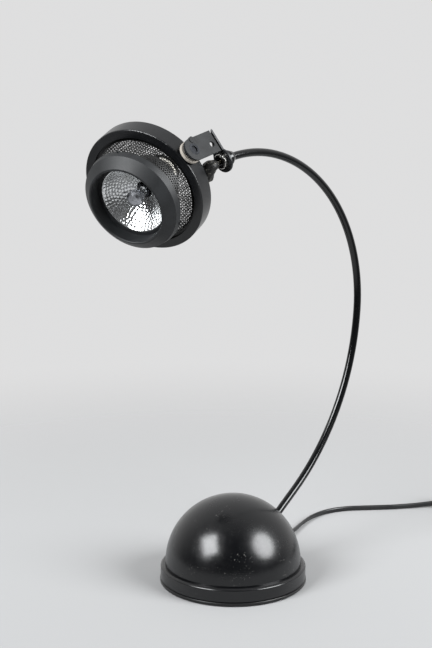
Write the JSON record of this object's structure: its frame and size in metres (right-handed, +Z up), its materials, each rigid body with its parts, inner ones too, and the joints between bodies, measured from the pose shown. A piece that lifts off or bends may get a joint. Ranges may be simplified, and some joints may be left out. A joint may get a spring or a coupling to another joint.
{
  "type": "desk lamp",
  "caption": "Tabletop searchlight lamp: domed weighted base, bent tube stem, tilting and swivelling round spot head, flat mains cord with rocker switch and plug.",
  "frame": {"origin": "centre of the round base on the surface it stands on", "axes": "+Z up; +X from the base's centre towards the side where the stem leaves the dome, so the bent stem lies in the XZ plane"},
  "size_m": [0.5147, 0.3289, 0.4668],
  "materials": {
    "felt": "felt",
    "plate_paint": "satin black",
    "satin_black": "satin black",
    "gloss_black": "semi-gloss black",
    "matte_black": "fine matt black",
    "mesh_black": "black perforated sheet",
    "zinc": "zinc plated",
    "dark_steel": "blackened",
    "nickel": "nickel plated",
    "brass": "plain",
    "rubber": "matt",
    "black_rubber": "matt",
    "black_plastic": "moulded",
    "white_plastic": "moulded",
    "cream_washer": "fibre",
    "cord_black": "smooth flat lead",
    "sleeve": "varnished glass sleeving",
    "transformer_iron": "varnished",
    "reflector": "bright dimpled",
    "lamp_glass": "quartz",
    "ceramic": "ceramic"
  },
  "bodies": {
    "base": {"felt_pad": "felt", "base_plate": "plate_paint", "base_ring": "satin_black", "dome_shell": "gloss_black", "dome_posts": "zinc", "base_screws": "zinc", "transformer_pad": "rubber", "transformer": "transformer_iron", "transformer_plate": "zinc", "transformer_bolt": "zinc", "transformer_nut": "zinc", "terminal_block": "white_plastic", "terminal_screws": "brass", "cord_clamp": "black_plastic", "inner_lead": "cord_black", "strain_relief": "black_rubber", "stem_tube": "gloss_black", "stem_lead": "sleeve", "stem_washer": "zinc", "stem_nut": "zinc", "end_bush": "matte_black", "rear_washer": "cream_washer", "ring_nut": "nickel", "cord_lead": "cord_black", "switch_base": "black_plastic", "switch_cover": "black_plastic", "rocker_pin": "zinc", "cord_coil": "cord_black", "coil_tie": "black_plastic", "cord_tail": "cord_black", "cord_end": "cord_black", "plug_body": "black_rubber", "plug_pins": "nickel"},
    "bracket": {"bracket": "matte_black", "lamp_lead": "sleeve"},
    "head": {"spring_washer": "dark_steel", "friction_washer": "cream_washer", "pivot_boss": "matte_black", "pivot_screw": "dark_steel", "pivot_nut": "zinc", "head_ring": "matte_black", "front_mesh": "mesh_black", "rear_mesh": "mesh_black", "bezel": "matte_black", "bezel_screws": "dark_steel", "lamp_reflector": "reflector", "lamp_burner": "lamp_glass", "burner_cap": "reflector", "lamp_base": "brass", "lampholder": "ceramic", "inner_cup": "dark_steel", "lamp_spring": "zinc"},
    "rocker": {"switch_rocker": "black_plastic"}
  },
  "joints": [
    {"name": "bracket_swivel", "type": "hinge", "parent": "base", "child": "bracket", "pos_m": [-0.01656, 0, 0.42925], "axis": [-0.9572, 0, -0.2894], "range_deg": [-90, 90]},
    {"name": "head_tilt", "type": "hinge", "parent": "bracket", "child": "head", "pos_m": [-0.05515, -0.00295, 0.44255], "axis": [0.0214, -0.86, 0.5098], "range_deg": [-35, 35], "deforming": ["lamp_lead"]},
    {"name": "switch_rock", "type": "hinge", "parent": "base", "child": "rocker", "pos_m": [0.36265, -0.03186, 0.0146], "axis": [0.6947, 0.7193, 0], "range_deg": [0, 18]}
  ]
}
